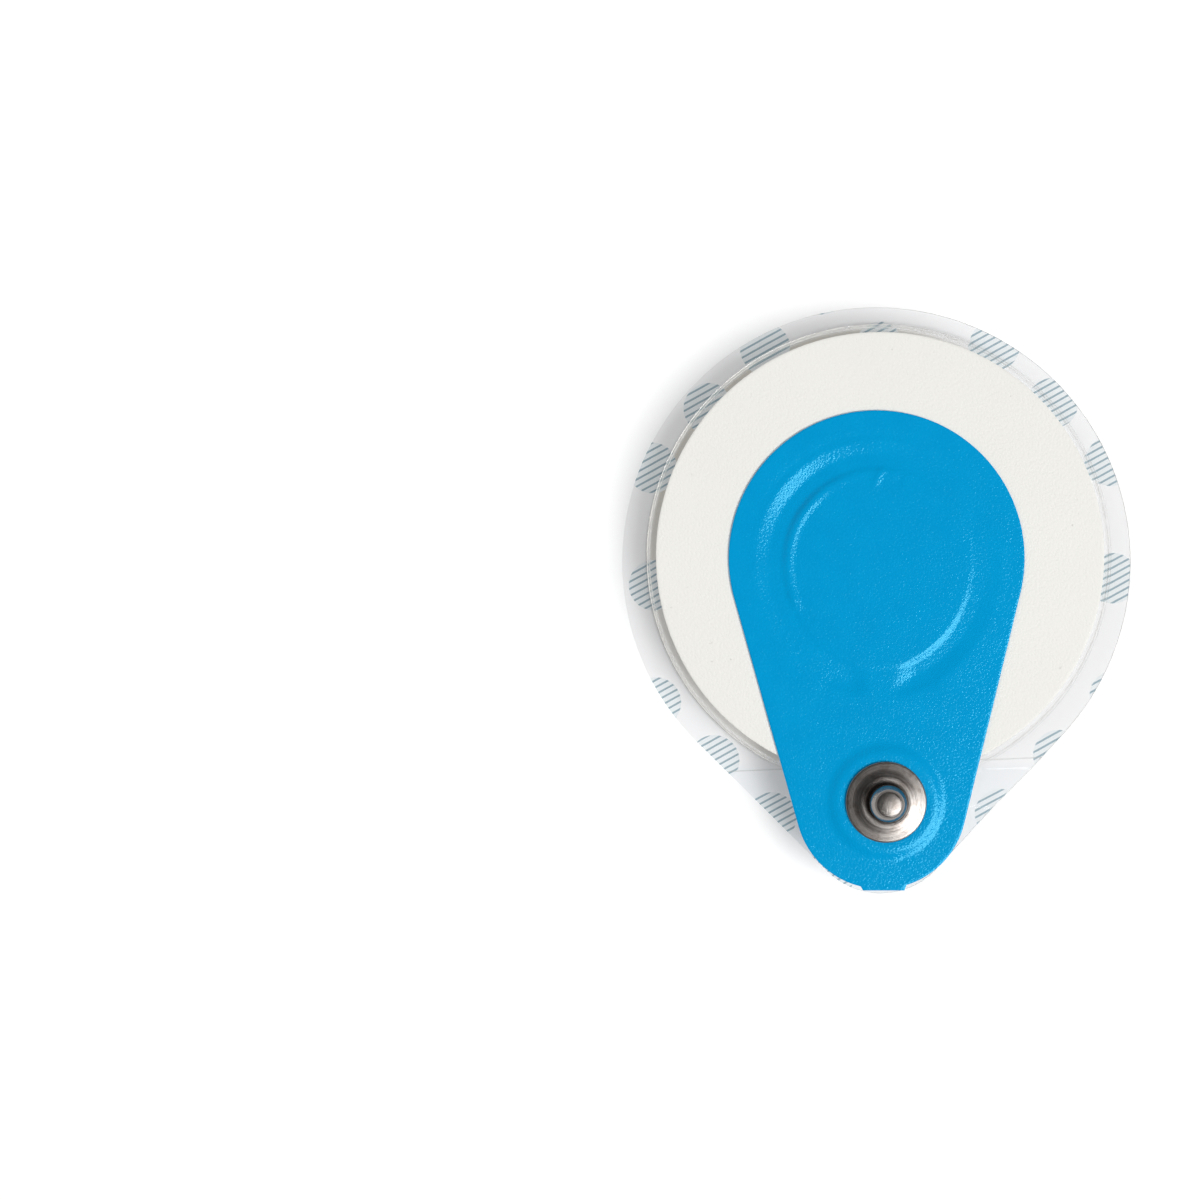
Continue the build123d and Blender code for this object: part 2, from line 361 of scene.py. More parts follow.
def embossing(x, y):
    """How far the label's faces are moved up or down by the press and the stud's boss."""
    side, up = around_stud(x, y)
    turn = np.degrees(np.arctan2(y, x))
    reach = np.hypot(x, y) - eased(turn, WIDENING, WIDENING_EASE)
    crossing = eased(np.abs(side), CROSSING, CROSSING_EASE)
    relief = sum(eased(reach, form, FORM_EASE) * eased(turn, depth, DEPTH_EASE) for form, depth in
                 ((RIDGE, RIDGE_DEPTH), (TROUGH, TROUGH_DEPTH), (GROOVE, GROOVE_DEPTH)))
    relief = relief * np.where(y < 0, crossing, 1)
    boss = eased(np.hypot(side, up), BOSS_FORM, BOSS_EASE)
    return relief + boss + wrinkles(x, y)


def wrinkles(x, y):
    """The small folds that the press left at the top and at the end of the ridge."""
    raised = np.zeros_like(x)
    for (ax, ay), (bx, by), width, height in FOLDS:
        length = math.hypot(bx - ax, by - ay)
        ux, uy = (bx - ax) / length, (by - ay) / length
        along = np.clip((x - ax) * ux + (y - ay) * uy, 0, length)
        away = np.hypot(x - ax - along * ux, y - ay - along * uy)
        raised = raised + height * np.exp(-(away / width) ** 2)
    return raised


print("the press reaches", TROUGH[2][1], "mm down, the boss", BOSS, "mm up")

# %% Draw the pad
EYELET, STRIP_HALF, PRESSED = 4.95, 1.35, 0.13
STRIP_END = math.hypot(*STUD_AT) + 1.95
CUT_EDGE, CUT_EASE = [(-0.12, 0), (0, -0.05)], 0.06
UNDER_EDGE, UNDER_GAP = -0.3, 0.005
PAD_RINGS = (WELL, 7.2, 7.6, 8.6, 9.6, 10.1, 10.6, 11.1, 11.6, 12.2, 12.8)
PAD_INSETS, PAD_STEPS = (0.4, 0.15, 0.1, 0.05, 0), 60


def pad_edge(x, y):
    return pad_gap(x, y, PAD_AT)


def pad_height(x, y):
    """The height of the pad's top, pressed down under the label, the strip and the eyelet."""
    side, up = around_stud(x, y)
    edge = eased(pad_edge(x, y), CUT_EDGE, CUT_EASE)
    strip = (np.abs(side) < STRIP_HALF) & (up > 0) & (up < STRIP_END)
    pressed = strip | (np.hypot(side, up) < EYELET)
    covered = rounds_gap(x, y, LABEL_ROUNDS) < UNDER_EDGE
    under_label = np.minimum(embossing(x, y), 0) - UNDER_GAP
    drop = np.where(pressed, -PRESSED, np.where(covered, under_label, edge))
    return PAD_TOP + np.minimum(drop, under_label * covered)


def inset_rings(gap, insets):
    """Rings that run this far inside an outline."""
    return [reach_of(gap, -inset, WAYS) for inset in insets]


pad_rings = [circle(r) for r in PAD_RINGS]
near_edge, *cut_edge = inset_rings(pad_edge, PAD_INSETS)
pad_rings += even(pad_rings[-1], near_edge, PAD_STEPS) + cut_edge
pad_sheet = ring_sheet(pad_rings, hole=True)
lay(pad_sheet, pad_height)
brims = [edge for edge in pad_sheet.edges if edge.is_boundary]
lowered = bmesh.ops.extrude_edge_only(pad_sheet, edges=brims)["geom"]
for vert in (item for item in lowered if isinstance(item, bmesh.types.BMVert)):
    vert.co.z = SEAT
loops = [edge for edge in pad_sheet.edges if edge.is_boundary]
bmesh.ops.bridge_loops(pad_sheet, edges=loops)
bmesh.ops.recalc_face_normals(pad_sheet, faces=pad_sheet.faces)
foam = make_piece("foam_disc", pad_sheet, "white_foam", "foam_pad", sharp=50)

# %% [markdown]
# ## The blue label
# The label is a quarter of a millimetre of grained vinyl, cut tight round a large and a small
# circle with a square nib at the tail's end. The press leaves a ring-shaped trough in it with a
# raised bead inside, broken where the strip runs, and the stud's eyelet lifts a round boss. It is
# drawn as a ring sheet too, with the closest rings over the trough and along the tail.

# %% Draw the label
NIB_HALF, NIB_AT, NIB_START, NIB_END = 2.35, 0.47, -30, -34.94
LABEL_MIDDLE, LABEL_TROUGH = (1.5, 4, 6, 7.5, 8.3), np.arange(8.7, 14.55, 0.15)
LABEL_INSETS, LABEL_STEPS = (0.45, 0.3, 0.2, 0.12, 0.06, 0), 76


def label_edge(x, y):
    """The gap to the label's outline, the nib counted in."""
    nib = np.maximum(np.abs(x - NIB_AT) - NIB_HALF, np.maximum(NIB_END - y, y - NIB_START))
    return np.minimum(rounds_gap(x, y, LABEL_ROUNDS), nib)


def label_height(x, y):
    edge = eased(label_edge(x, y), CUT_EDGE, CUT_EASE)
    return LABEL_TOP + embossing(x, y) + edge


label_rings = [circle(r) for r in (*LABEL_MIDDLE, *LABEL_TROUGH)]
near_edge, *cut_edge = inset_rings(label_edge, LABEL_INSETS)
label_rings += even(label_rings[-1], near_edge, LABEL_STEPS) + cut_edge
label_sheet = ring_sheet(label_rings)
lay(label_sheet, label_height)
thicken(label_sheet, LABEL)
label = make_piece("vinyl_label", label_sheet, "blue_vinyl", "label", sharp=50)

# %% [markdown]
# ## Turned pieces
# The press stud is a drawing from thin sheet and the gel fills round hollows, so both are turned.
# A lathe modifier would do, but a section that is a filled face lets each corner be bevelled by
# its own amount first, and spinning its outline then gives the whole solid.

# %% Turn a section into a solid
TURN_STEPS = 128


def turned(points, place=(0, 0), base=0.0):
    """A solid from (radius, height, corner, segments) points, turned about its own upright."""
    bm = bmesh.new()
    verts = [bm.verts.new((radius, 0, height)) for radius, height, *_ in points]
    bm.faces.new(verts)
    for vert, (_, _, *corner) in zip(verts, points):
        if corner:
            bmesh.ops.bevel(bm, geom=[vert], affect="VERTICES", offset=corner[0],
                            offset_type="OFFSET", segments=corner[1], profile=0.5, material=-1)
    bmesh.ops.delete(bm, geom=bm.faces[:], context="FACES_ONLY")
    inside = [edge for edge in bm.edges if all(abs(v.co.x) < 1e-6 for v in edge.verts)]
    bmesh.ops.delete(bm, geom=inside, context="EDGES")
    bmesh.ops.spin(bm, geom=bm.verts[:] + bm.edges[:], axis=(0, 0, 1), cent=(0, 0, 0),
                   steps=TURN_STEPS, angle=2 * math.pi, use_merge=True)
    bmesh.ops.remove_doubles(bm, verts=bm.verts, dist=1e-5)
    bmesh.ops.recalc_face_normals(bm, faces=bm.faces)
    bmesh.ops.translate(bm, vec=(place[0], place[1], base), verts=bm.verts)
    return bm


# %% [markdown]
# ## The press stud
# A nickel-plated male stud: a cone of a flange with a rolled rim, a moat round the neck, and a
# head that is wider than the neck so that the lead's clip snaps over it. Its roundings are what
# make it read as drawn metal, because each one shows the light as a thin line.

# %% Turn the stud
stud_section = [
    (4.03, 0.0), (4.25, 0.0, 0.06, 2), (4.33, 0.1, 0.05, 2), (4.33, 0.3, 0.1, 4),
    (4.16, 0.37, 0.05, 2), (3.4, 0.44, 0.3, 4), (2.55, 0.7, 0.3, 5), (2.2, 0.61, 0.1, 3),
    (1.74, 0.46, 0.12, 4),
    (1.7, 1.28, 0.14, 4), (2.0, 1.72, 0.14, 5), (2.0, 2.42, 0.26, 6), (1.42, 3.24, 0.3, 7),
    (0.55, 3.39, 0.3, 4), (0, 3.4),
    (0, 3.12), (1.2, 3.0), (1.72, 2.3), (1.72, 1.75), (1.42, 1.3), (1.42, 0.2), (2.2, 0.34),
    (2.55, 0.44), (3.4, 0.17),
]
stud = make_piece("press_stud", turned(stud_section, STUD_AT, STUD_BASE),
                  "nickel_plate", "snap_stud", sharp=60)

# %% [markdown]
# ## The gel
# The gel fills the well of the pad and the cap of the cover, and narrows between them. Its top
# and sides reach a hair into the label and the foam that it wets, so that light passes from one
# to the other without a false gap. Bubbles crowd along the well's edge and leave a patch near the
# middle clear. They are placed one by one at random, and one that meets another is dropped.

# %% Turn the gel
WET = 0.03
gel_section = [
    (0, FILM + 0.02), (9.9, FILM + 0.02, 0.3, 4), (10.62, 2.3, 0.12, 3),
    (8.6, 2.75, 0.9, 6), (8.0, 3.8, 0.4, 4), (8.0, SEAT - 0.01, 0.2, 3), (WELL + WET, SEAT - 0.01),
    (WELL + WET, PAD_TOP + WET), (0, PAD_TOP + WET),
]
gel = make_piece("gel_plug", turned(gel_section), "wet_gel", "gel", sharp=50)

# %% Bubbles in the gel
BUBBLES, TRIES = 300, 40000
BUBBLE_SIZES = (0.18, 0.22, 0.27, 0.33, 0.42)
BUBBLE_REACH, CROWDING, OVERLAP = 6.7, 0.4, 0.92
BUBBLE_HIGH, BUBBLE_SPREAD = PAD_TOP - 0.5, 0.5
CLEAR_AT, CLEAR_PATCH, CLEAR_FRINGE, CLEARED = Vector((-1.6, 1.6)), 2.9, 0.6, 0.97
draw = random.Random(11)
ball_bm = bmesh.new()
bmesh.ops.create_uvsphere(ball_bm, u_segments=10, v_segments=6, radius=1)
ball = bpy.data.meshes.new("one_bubble")
ball_bm.to_mesh(ball)
ball_bm.free()
bubble_bm = bmesh.new()
placed = []
tries = 0
while len(placed) < BUBBLES and tries < TRIES:
    tries += 1
    way = draw.uniform(0, 2 * math.pi)
    out = BUBBLE_REACH * draw.random() ** CROWDING
    spot = Vector((out * math.cos(way), out * math.sin(way), BUBBLE_HIGH))
    fringe = draw.uniform(-CLEAR_FRINGE, CLEAR_FRINGE)
    if (spot.xy - CLEAR_AT).length < CLEAR_PATCH + fringe and draw.random() < CLEARED:
        continue
    radius = draw.choice(BUBBLE_SIZES)
    if any((spot.xy - other.xy).length < (radius + size) * OVERLAP for other, size in placed):
        continue
    placed.append((spot, radius))
    at = Matrix.Translation(spot - Vector((0, 0, draw.uniform(0, BUBBLE_SPREAD))))
    made = len(bubble_bm.verts)
    bubble_bm.from_mesh(ball)
    bubble_bm.verts.ensure_lookup_table()
    bmesh.ops.transform(bubble_bm, matrix=at @ Matrix.Scale(radius, 4),
                        verts=bubble_bm.verts[made:])
bpy.data.meshes.remove(ball)
bubbles = make_piece("gel_bubbles", bubble_bm, "wet_gel", sharp=80)
print(len(placed), "bubbles in", tries, "tries")

# %% [markdown]
# ## Sums in a material
# Shader sums are easier to read as plain sums than as rows of nodes. One small class wraps a
# socket, so that plus, minus and the rest add the Math nodes, also where a number stands first.

# %% A class for sums
class Sum:
    """A shader socket that takes part in Python's own sums."""

    def __init__(self, finish, socket):
        self.finish, self.socket = finish, socket

    def math(self, operation, *values):
        node = self.finish.node("ShaderNodeMath", {"operation": operation},
                                dict(enumerate(values)))
        return Sum(self.finish, node.outputs[0])

    def __add__(self, other):
        return self.math("ADD", self, other)

    def __sub__(self, other):
        return self.math("SUBTRACT", self, other)

    def __rsub__(self, other):
        return self.math("SUBTRACT", other, self)

    def __mul__(self, other):
        return self.math("MULTIPLY", self, other)

    def __pow__(self, other):
        return self.math("POWER", self, other)

    def __rpow__(self, other):
        return self.math("POWER", other, self)

    __radd__, __rmul__ = __add__, __mul__

    def least(self, other):
        return self.math("MINIMUM", self, other)

    def most(self, other):
        return self.math("MAXIMUM", self, other)

    def apart(self, period):
        """How far the value is from the nearest whole number of periods."""
        return self.math("PINGPONG", self, period / 2)

    def step(self, low, high, start=0.0, end=1.0):
        """Goes from start to end, smoothly, as the value goes from low to high."""
        node = self.finish.node("ShaderNodeMapRange", {"interpolation_type": "SMOOTHSTEP"},
                                {"Value": self, "From Min": low, "From Max": high,
                                 "To Min": start, "To Max": end})
        return Sum(self.finish, node.outputs["Result"])


# %% [markdown]
# ## A finish, node by node
# A second class holds a material. Its one method adds any node: its type, then its settings, then
# the values or links of its sockets. The patterns that recur here, such as noise, cells, a blend
# of two colours and a bump, are short calls of that method.

# %% A class for a finish
class Finish:
    """A material that is written node by node."""

    def __init__(self, name, data=None):
        self.data = data or bpy.data.materials.new(name)
        self.data.use_nodes = True
        self.tree = self.data.node_tree
        self.tree.nodes.clear()

    def node(self, kind, settings=None, values=None):
        made = self.tree.nodes.new(kind)
        for key, value in (settings or {}).items():
            setattr(made, key, value)
        for key, value in (values or {}).items():
            self.feed(made.inputs[key], value)
        return made

    def feed(self, socket, value):
        source = value.socket if isinstance(value, Sum) else value
        if isinstance(source, bpy.types.NodeSocket):
            self.tree.links.new(source, socket)
        else:
            socket.default_value = source

    def place(self, middle=(0, 0)):
        """The point on the piece, in millimetres from a middle, as a vector socket."""
        spot = self.node("ShaderNodeTexCoord").outputs["Object"]
        moved = self.node("ShaderNodeMapping", values={
            "Vector": spot, "Scale": (1 / MM,) * 3, "Location": (-middle[0], -middle[1], 0)})
        return moved.outputs["Vector"]

    def along(self, value):
        """A point that moves along one line only, for a pattern of plain rings."""
        return self.node("ShaderNodeCombineXYZ", values={"X": value}).outputs[0]

    def parts(self, vector):
        """The three parts of a vector, ready for sums."""
        node = self.node("ShaderNodeSeparateXYZ", values={0: vector})
        return [Sum(self, socket) for socket in node.outputs]

    def noise(self, vector, scale, detail=2.0, roughness=0.5, distortion=0.0):
        node = self.node("ShaderNodeTexNoise", values={
            "Vector": vector, "Scale": scale, "Detail": detail, "Roughness": roughness,
            "Distortion": distortion})
        return Sum(self, node.outputs[0])

    def cells(self, vector, scale):
        """How far the point is from the middle of the nearest cell."""
        node = self.node("ShaderNodeTexVoronoi", values={"Vector": vector, "Scale": scale})
        return Sum(self, node.outputs["Distance"])

    def blend(self, share, low, high):
        """A colour that goes from low to high with a share."""
        node = self.node("ShaderNodeMix", {"data_type": "RGBA"}, {"Factor": share, 6: low, 7: high})
        return node.outputs[2]

    def bump(self, height, depth, normal=None):
        """A normal from a height of 0 to 1, this many millimetres deep."""
        values = {"Strength": 1.0, "Distance": depth * MM, "Height": height}
        if normal is not None:
            values["Normal"] = normal
        return self.node("ShaderNodeBump", values=values).outputs["Normal"]

    def body(self, values):
        return self.node("ShaderNodeBsdfPrincipled", values=values).outputs[0]

    def mix(self, share, low, high):
        """A shader that goes from low to high with a share."""
        return self.node("ShaderNodeMixShader", values={0: share, 1: low, 2: high}).outputs[0]

    def show(self, shader):
        self.node("ShaderNodeOutputMaterial", values={"Surface": shader})

    def wear(self, *pieces):
        for piece in pieces:
            piece.data.materials.clear()
            piece.data.materials.append(self.data)
        print(self.data.name, len(self.tree.nodes), "nodes on", [p.name for p in pieces])


# %% [markdown]
# ## Dots printed on the film
# The cover is glossy clear film with round dots printed on it, each dot a patch of slanting grey
# blue lines over a pale tint. The dots sit on a diamond lattice over the whole sheet, which is two
# upright ones, half a step apart. In each of them a point is folded back into one mesh of the
# lattice, and the shorter of the two distances is the way to the nearest dot.

# %% Print
LATTICE, LATTICE_AT, DOT = (12.3, 12.58), (0.6, -1.9), 2.7
LATTICE_TURN = math.radians(0.87)
LINE_PITCH, LINE_HALF, LINE_ANGLE, INK_EDGE = 0.66, 0.1, math.radians(29), 0.03

film = Finish("clear_film")
spot = film.place(LATTICE_AT)
x, y, _ = film.parts(spot)
turned_x = x * math.cos(LATTICE_TURN) + y * math.sin(LATTICE_TURN)
turned_y = y * math.cos(LATTICE_TURN) - x * math.sin(LATTICE_TURN)
aside = [((turned_x + LATTICE[0] * shift).apart(LATTICE[0]),
          (turned_y + LATTICE[1] * shift).apart(LATTICE[1])) for shift in (0, 0.5)]
from_dot = [(dx * dx + dy * dy) ** 0.5 for dx, dy in aside]
dot = from_dot[0].least(from_dot[1]).step(DOT + INK_EDGE, DOT - INK_EDGE)
across = y * math.cos(LINE_ANGLE) - x * math.sin(LINE_ANGLE) + film.noise(spot, 0.5) * 0.06
line = across.apart(LINE_PITCH).step(LINE_HALF + INK_EDGE, LINE_HALF - INK_EDGE) * dot
print("dots every", LATTICE, "mm with lines every", LINE_PITCH, "mm")

# %% [markdown]
# ## Clear film
# Ink, a painted shade in the recess's gap on its upper-left side, a painted shade line along the
# crease and the cooler tail only tint what passes through, so they go into the base colour of a
# transmitting surface. Painted highlights whiten the recess's two bends, most on the left, and the
# pips, and the cut edge is white too. Drops of condensed water make the dome's shelf milky. All that
# white is one mask, which mixes in a matt shader. Lamps are let through by a Transparent shader,
# because light focused by clear pieces is slow to render.

# %% Tint of the film
# Where the painted shade of the recess's gap lies: a thin ring beside the pad, on its upper-left
# side.
RECESS_SHADE_BAND = ((24.6, 24.4), (23.0, 23.2))
SHADED_SIDE, SHADED_CORNER = (16, 2), (16, 32, 0.59, 1.0)
ROUND_END, TAIL_START = (-22.5, -21.5), (-21, -22)
CREASE_AT, CREASE_SLANT, CREASE_LINE, WIDE = -21.5, 0.045, (0.1, 0.03), 200.0
FILM_TINT, TAIL_TINT = (0.9, 0.9, 0.905, 1), (0.85, 0.865, 0.88, 1)
# The recess's colour here is a painted shade, and the crease's colour a painted shade line.
RECESS_SHADE, CREASE_SHADE = (0.66, 0.635, 0.58, 1), (0.5, 0.5, 0.49, 1)
DOT_TINT, INK = (0.79, 0.825, 0.84, 1), (0.34, 0.45, 0.5, 1)


def away_from(middle):
    """How far the film's point is from a middle: along X, along Y and in all."""
    away_x, away_y = x + (LATTICE_AT[0] - middle[0]), y + (LATTICE_AT[1] - middle[1])
    return away_x, away_y, (away_x * away_x + away_y * away_y) ** 0.5


away_x, away_y, out = away_from(RECESS_AT)
from_axis = y + LATTICE_AT[1]
round_part = away_y.step(*ROUND_END)
# A painted shade in the recess's gap beside the pad, kept to its upper-left side.
recess = out.step(*RECESS_SHADE_BAND[0]) * out.step(*RECESS_SHADE_BAND[1]) * round_part
recess = recess * away_x.step(*SHADED_SIDE) * (away_y - away_x).step(*SHADED_CORNER)
tinted = film.blend(from_axis.step(*TAIL_START), FILM_TINT, TAIL_TINT)
tinted = film.blend(recess, tinted, RECESS_SHADE)
tinted = film.blend(dot * 0.8, tinted, DOT_TINT)
printed = film.blend(line, tinted, INK)
# A painted shade line along the film's crease.
crease = (y - x * CREASE_SLANT + (LATTICE_AT[1] - CREASE_AT)).apart(WIDE).step(*CREASE_LINE)
printed = film.blend(crease * 0.45, printed, CREASE_SHADE)
print("the crease's line lies", CREASE_AT, "mm from the axis")

# %% White: painted highlights at the bends and pips, wet drops, and the cut edge
BENDS, BEND_LINE = (24.62, 24.85), (0.075, 0.02)
PIP_LINE, WET_SHELF = (1.15, 0.75), ((10.6, 11.0), (14.2, 13.6))

bends = [(out - reach).apart(WIDE).step(*BEND_LINE) for reach in BENDS]
# The bends' painted highlights come in patches and are strongest on the left side.
patchy = film.noise(spot, 0.7).step(0.3, 0.6, 0.25, 0.6) * away_x.step(-8, 12, 1.0, 0.35)
painted_highlights = (bends[0] + bends[1]).least(1) * patchy * round_part
# The pips' pale rims are painted highlights too.
for pip in PIPS:
    painted_highlights = painted_highlights.most(away_from(pip)[2].step(*PIP_LINE, 0.0, 0.3))
dome_out = away_from((0, 0))[2]
drops = film.cells(spot, 2.3).step(0.42, 0.2) * film.noise(spot, 0.5, 2.0).step(0.35, 0.6)
drops = drops * dome_out.step(*WET_SHELF[0]) * dome_out.step(*WET_SHELF[1])
upright = film.parts(film.node("ShaderNodeNewGeometry").outputs["True Normal"])[2]
cut = (upright * upright).step(0.05, 0.02, 0.0, 0.55)
white = painted_highlights.most(drops * 0.3).most(cut)
print("strained at the bends", BENDS, "and on", len(PIPS), "pips")


# %% Film
def let_lamps_through(finish, glass, tint):
    """Mixes in a Transparent shader for the rays that look for lamps."""
    lamps = finish.node("ShaderNodeLightPath").outputs["Is Shadow Ray"]
    through = finish.node("ShaderNodeBsdfTransparent", values={"Color": tint}).outputs[0]
    return finish.mix(lamps, glass, through)


waves = film.bump(film.noise(spot, 0.16, 1.0), 0.05)
clear = film.body({"Base Color": printed, "Roughness": 0.04, "IOR": 1.1,
                   "Transmission Weight": 1.0, "Normal": waves, "Coat Roughness": 0.06,
                   "Coat Weight": from_axis.step(-24, -17, 0.05, 0.9)})
# A matt white for the painted highlights at the bends and pips, the wet drops and the cut edge.
whitened = film.body({"Base Color": (0.93, 0.92, 0.87, 1), "Roughness": 0.5})
film.show(let_lamps_through(film, film.mix(white, clear, whitened), (0.92, 0.92, 0.925, 1)))
film.wear(cover)

# %% [markdown]
# ## White foam
# The pad is closed-cell foam with a warm white skin. It scatters light so well that it looks
# almost flat, and what gives it away are tiny cells and a few shallow nicks. Both are heights for
# a Bump node, far smaller than a tenth of a millimetre, with a trace of them in the colour.

# %% Foam
skin = Finish("foam_skin")
spot = skin.place()
cell = skin.cells(spot, 3.4).step(0.1, 0.75)
fine = skin.noise(spot, 7.0, 3.0, 0.6)
nick = skin.noise(spot, 1.1, 2.0, 0.5, 0.6).step(0.74, 0.8)
shade = skin.blend(skin.noise(spot, 0.12, 2.0), (0.85, 0.84, 0.795, 1), (0.875, 0.868, 0.83, 1))
shade = skin.blend(nick * 0.3 + cell * 0.05, shade, (0.72, 0.69, 0.62, 1))
normal = skin.bump(fine, 0.02, skin.bump(cell, 0.02, skin.bump(nick, -0.04)))
skin.show(skin.body({"Base Color": shade, "Roughness": 0.72, "IOR": 1.4, "Normal": normal}))
skin.wear(foam)

# %% [markdown]
# ## Blue vinyl
# The label's vinyl is a saturated sky blue with a fine leather grain that only shows where light
# glances off a slope. Cells with soft walls make the grain, and slower noise makes some patches
# rougher than others. Stronger grain on slopes is not painted: it comes by itself from the light.

# %% Vinyl
vinyl = Finish("grained_vinyl")
spot = vinyl.place()
grain = vinyl.cells(spot, 4.0).step(0.1, 0.7)
pores = vinyl.noise(spot, 3.6, 1.0, 0.5)
clouds = vinyl.noise(spot, 0.35, 2.0)
blue = vinyl.blend(clouds, (0.0003, 0.31, 0.64, 1), (0.0005, 0.345, 0.69, 1))
blue = vinyl.blend(grain * 0.12, blue, (0.0005, 0.22, 0.52, 1))
patches = vinyl.noise(spot, 0.6, 2.0)
normal = vinyl.bump(pores, 0.014, vinyl.bump(grain, 0.0105))
vinyl.show(vinyl.body({"Base Color": blue, "Roughness": patches.step(0.2, 0.8, 0.15, 0.19),
                       "IOR": 1.4, "Specular IOR Level": 0.6, "Specular Tint": (0.26, 0.88, 1, 1),
                       "Normal": normal}))
vinyl.wear(label)

# %% [markdown]
# ## Nickel plate
# Drawn and plated metal keeps faint turned rings from the tool and a satin grain on its crown.
# The rings are a noise that is read along the distance from the stud's own axis, so a Mapping
# node first moves the middle of the pattern there. The head's side is the smoothest, the flange
# and the crown are rougher, which spreads their highlights, and the plate is a little warm.

# %% Nickel
nickel = Finish("nickel_plate")
spot = nickel.place(STUD_AT)
x, y, _ = nickel.parts(spot)
out = (x * x + y * y) ** 0.5
wobble = nickel.noise(spot, 1.5, 2.0)
ring = nickel.noise(nickel.along(out + wobble * 0.06), 3.6, 3.0, 0.65)
satin = nickel.noise(spot, 6.0, 3.0, 0.6)
stain = nickel.noise(spot, 0.9, 3.0, 0.6).step(0.45, 0.7)
plate = nickel.blend(stain, (0.29, 0.27, 0.255, 1), (0.21, 0.185, 0.17, 1))
turned_face, blasted = out.step(1.95, 2.15), out.step(1.45, 1.3)
grain = nickel.noise(spot, 9.0, 2.0, 0.6)
normal = nickel.bump(grain * blasted, 0.028, nickel.bump(ring * turned_face, 0.042))
rough = satin.step(0.3, 0.7, 0.12, 0.2) + turned_face * 0.18 + blasted * 0.16
nickel.show(nickel.body({"Base Color": plate, "Metallic": 1.0, "Normal": normal,
                         "Roughness": rough}))
nickel.wear(stud, frame["nodes"]["snap_eyelet"])

# %% [markdown]
# ## Sensor strip
# Behind the gel lies a strip of plastic coated with silver and silver chloride, which is a
# brownish grey with a dry, slightly metallic speckle. It keeps its solid from the frame, since
# a flat strip is all that it is, and gets its looks from the material alone.

# %% Coated strip
coating = Finish("silver_coating")
spot = coating.place()
flecks = coating.noise(spot, 9.0, 3.0, 0.7)
streak = coating.noise(spot, 1.2, 3.0, 0.6)
grey = coating.blend(streak, (0.24, 0.2, 0.19, 1), (0.36, 0.31, 0.3, 1))
grey = coating.blend(flecks.step(0.6, 0.75) * 0.5, grey, (0.6, 0.57, 0.55, 1))
coating.show(coating.body({"Base Color": grey, "Metallic": flecks.step(0.5, 0.8, 0.2, 0.7),
                           "Roughness": 0.5, "Normal": coating.bump(flecks, 0.01)}))
coating.wear(frame["nodes"]["sensor_strip"])

# %% [markdown]
# ## Wet gel and its bubbles
# The gel is clear but cloudy where tiny bubbles crowd. The cloud is a matt pale shader that is
# mixed in by a speckled mask, thickest outside the well. A bubble is the opposite of a drop: light
# leaves the gel as it enters, which an index below one describes. Its rim gets a painted
# reflection: a pale matt skin is mixed in, in patches, where the surface turns away.

# %% Gel and bubbles
wet = Finish("wet_gel")
spot = wet.place()
x, y, _ = wet.parts(spot)
out = (x * x + y * y) ** 0.5
froth = wet.cells(spot, 2.6).step(0.5, 0.1) * wet.noise(spot, 0.8, 3.0).step(0.35, 0.6)
cloud = froth * out.step(5.5, 7.6, 0.08, 0.8) + out.step(7.0, 8.0) * 0.25
clear = wet.body({"Base Color": (0.97, 0.985, 0.985, 1), "Roughness": 0.02, "IOR": 1.36,
                  "Transmission Weight": 1.0, "Normal": wet.bump(wet.noise(spot, 0.9, 2.0), 0.06)})
milky = wet.body({"Base Color": (0.86, 0.87, 0.86, 1), "Roughness": 0.5})
wet.show(let_lamps_through(wet, wet.mix(cloud, clear, milky), (0.95, 0.96, 0.96, 1)))
wet.wear(gel)

air = Finish("gel_bubble")
hollow = air.body({"Base Color": (1, 1, 1, 1), "Roughness": 0.0, "IOR": 0.74,
                   "Transmission Weight": 1.0})
# A painted reflection: this pale matt skin stands in for the light that a bubble's rim reflects.
matt = air.body({"Base Color": (0.9, 0.92, 0.92, 1), "Roughness": 0.4})
edge = Sum(air, air.node("ShaderNodeLayerWeight", values={"Blend": 0.5}).outputs["Facing"])
rim = edge.step(0.45, 0.8) * air.noise(air.place(), 0.9, 2.0).step(0.35, 0.65, 0.25, 0.8)
air.show(let_lamps_through(air, air.mix(rim, hollow, matt), (1, 1, 1, 1)))
air.wear(bubbles)

# %% [markdown]
# ## Floor and studio
# The photograph is taken straight down on a white table with a soft light from the lower right.
# The floor is a pale diffuse plane, and a little glow for camera, mirror and glass rays brings it
# to white without lighting the object. The glow rises where the table is far from the lamps, so
# that its end doesn't show in low views. The studio is dim but white to look at.

# %% Floor
TABLE_HALF, TABLE_DROP, PALE = 500, 0.00002, 0.78
GLOW_RISE = (120, 420, 0.3, 0.8)


def looked_at(finish, *kinds):
    """1 for rays of these kinds that have met no matt surface yet, and 0 for the rest."""
    path = finish.node("ShaderNodeLightPath").outputs
    seen = Sum(finish, path[kinds[0]])
    for kind in kinds[1:]:
        seen = seen.most(Sum(finish, path[kind]))
    return seen.least(1) * (1 - Sum(finish, path["Diffuse Depth"]).least(1))


table_bm = bmesh.new()
bmesh.ops.create_grid(table_bm, x_segments=1, y_segments=1, size=TABLE_HALF)
table_mesh = bpy.data.meshes.new("table")
bmesh.ops.scale(table_bm, vec=(MM, MM, MM), verts=table_bm.verts)
bmesh.ops.translate(table_bm, vec=(0, 0, -TABLE_DROP), verts=table_bm.verts)
table_bm.to_mesh(table_mesh)
table_bm.free()
table = bpy.data.objects.new("table", table_mesh)
bpy.context.scene.collection.objects.link(table)

